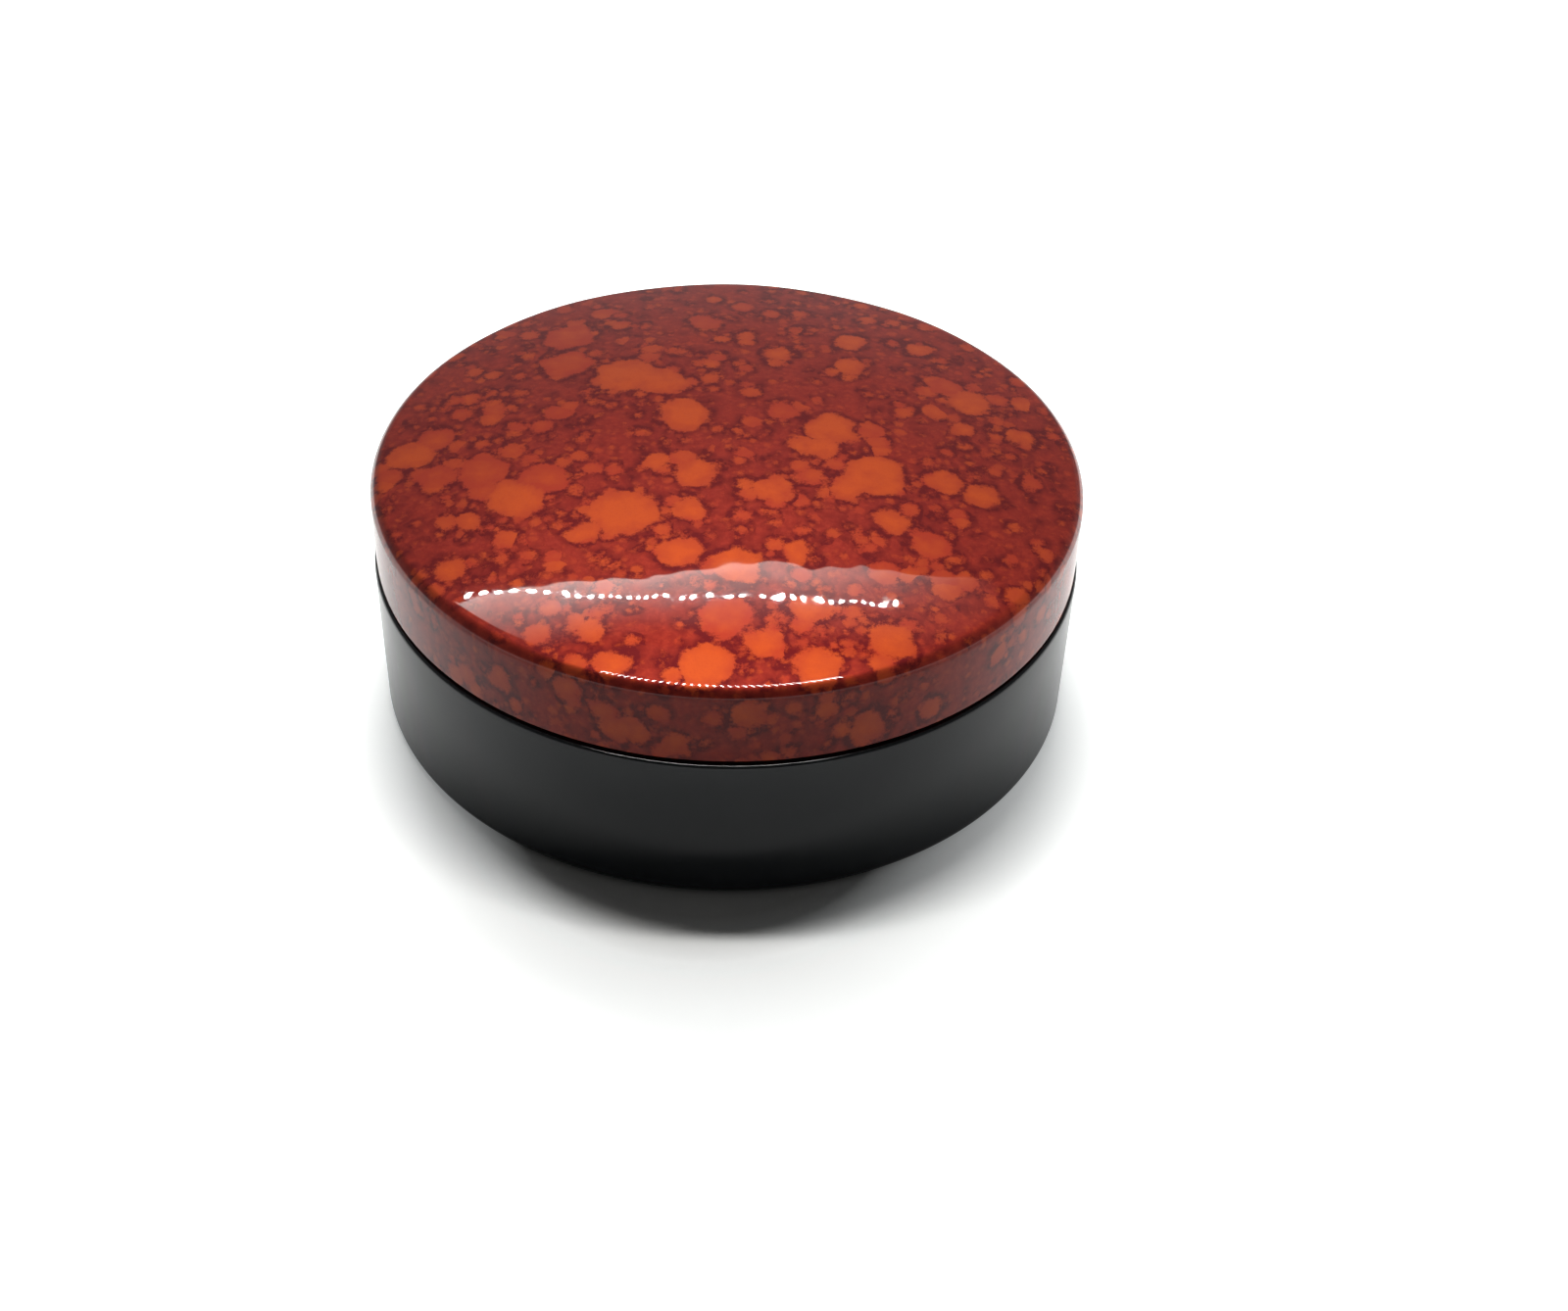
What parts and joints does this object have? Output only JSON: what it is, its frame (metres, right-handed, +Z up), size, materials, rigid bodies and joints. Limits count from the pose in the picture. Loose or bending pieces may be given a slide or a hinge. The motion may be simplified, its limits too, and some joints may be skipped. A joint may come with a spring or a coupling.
{
  "type": "round seal-ink case",
  "caption": "Round lacquered seal-ink case: a shallow domed lid with a skirt over a black base with a spigot, and a tray inside with a crowned cloth ink pad.",
  "frame": {"origin": "centre of the foot, on the surface that the case stands on", "axes": "+Z up along the case's axis, towards the lid; the case is round, so X and Y are free"},
  "size_m": [0.0802, 0.0802, 0.0324],
  "materials": {
    "mottled_lacquer": "deep gloss lacquer, orange drops in dark red",
    "black_lacquer": "gloss black lacquer",
    "cushion_foam": "closed-cell foam with an adhesive on both sides",
    "tray_aluminium": "satin pressed sheet",
    "inked_felt": "dense wool felt soaked with vermilion ink",
    "inked_foam": "open-cell foam soaked with vermilion ink",
    "inked_cloth": "fine plain weave, damp with vermilion ink",
    "ring_plastic": "moulded black"
  },
  "bodies": {
    "case": {"base_shell": "black_lacquer", "tray_cushion": "cushion_foam", "ink_tray": "tray_aluminium", "ink_felt": "inked_felt", "pad_foam": "inked_foam", "pad_cloth": "inked_cloth", "cloth_ring": "ring_plastic"},
    "lid": {"lid_shell": "mottled_lacquer"}
  },
  "joints": [
    {"name": "lid_lift", "type": "slide", "parent": "case", "child": "lid", "axis": [0, 0, 1], "range_m": [0, 0.04]}
  ]
}
